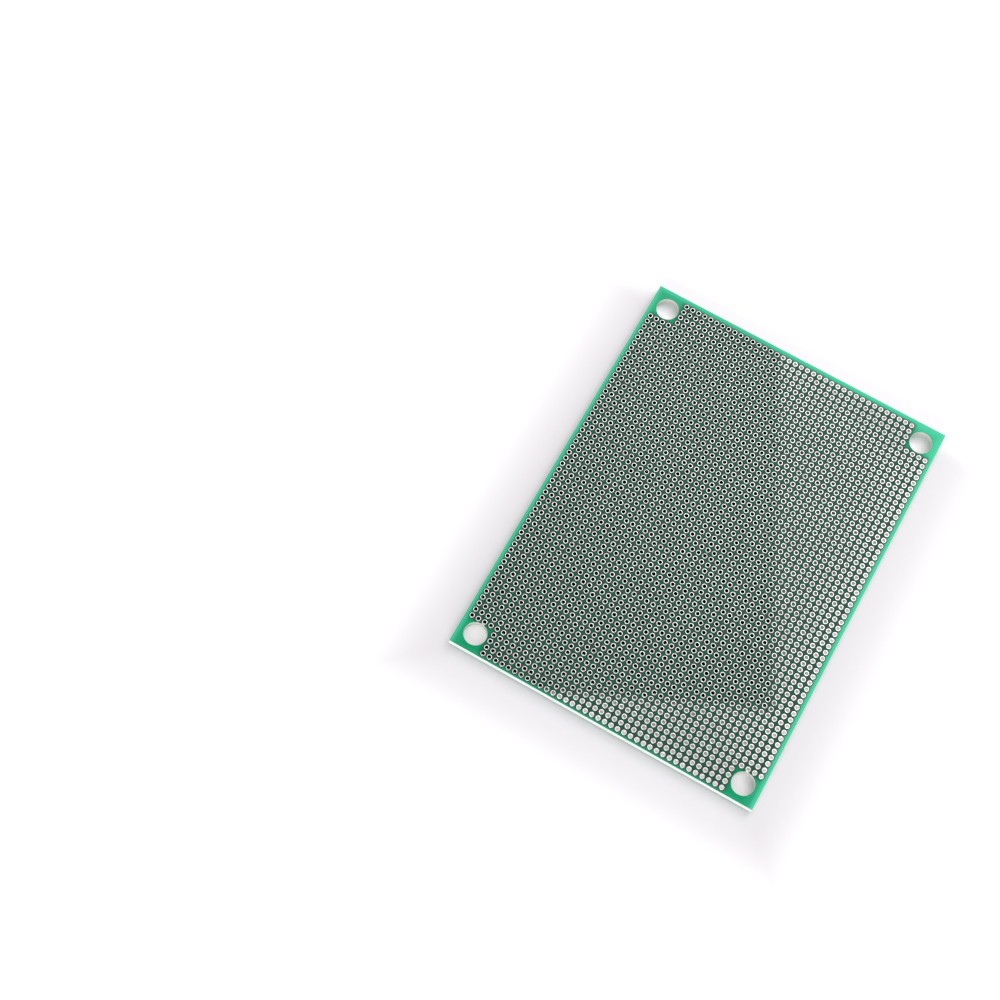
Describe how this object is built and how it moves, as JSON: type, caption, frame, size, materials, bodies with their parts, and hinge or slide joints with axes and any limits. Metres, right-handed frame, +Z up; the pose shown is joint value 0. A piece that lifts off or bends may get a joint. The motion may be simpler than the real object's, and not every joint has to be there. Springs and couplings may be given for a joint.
{
  "type": "bare circuit board",
  "caption": "Thin rectangular prototype circuit board with a close square grid of plated through holes and a mounting hole in each corner.",
  "frame": {"origin": "centre of the laminate's underside", "axes": "+X along a row of holes (the short side), +Y along a column of holes (the long side), +Z up out of the component side"},
  "size_m": [0.0596, 0.0798, 0.0018],
  "materials": {
    "masked_laminate": "green translucent coat over a pale glass laminate, satin gloss",
    "tinned_copper": "bright tinned metal, slightly domed"
  },
  "bodies": {
    "root": {"laminate_1": "masked_laminate", "laminate_2": "masked_laminate", "laminate_3": "masked_laminate", "laminate_4": "masked_laminate", "plated_holes_1": "tinned_copper", "plated_holes_2": "tinned_copper", "plated_holes_3": "tinned_copper", "plated_holes_4": "tinned_copper", "plated_holes_5": "tinned_copper", "plated_holes_6": "tinned_copper", "plated_holes_7": "tinned_copper", "plated_holes_8": "tinned_copper", "plated_holes_9": "tinned_copper", "plated_holes_10": "tinned_copper", "plated_holes_11": "tinned_copper", "plated_holes_12": "tinned_copper"}
  },
  "joints": []
}
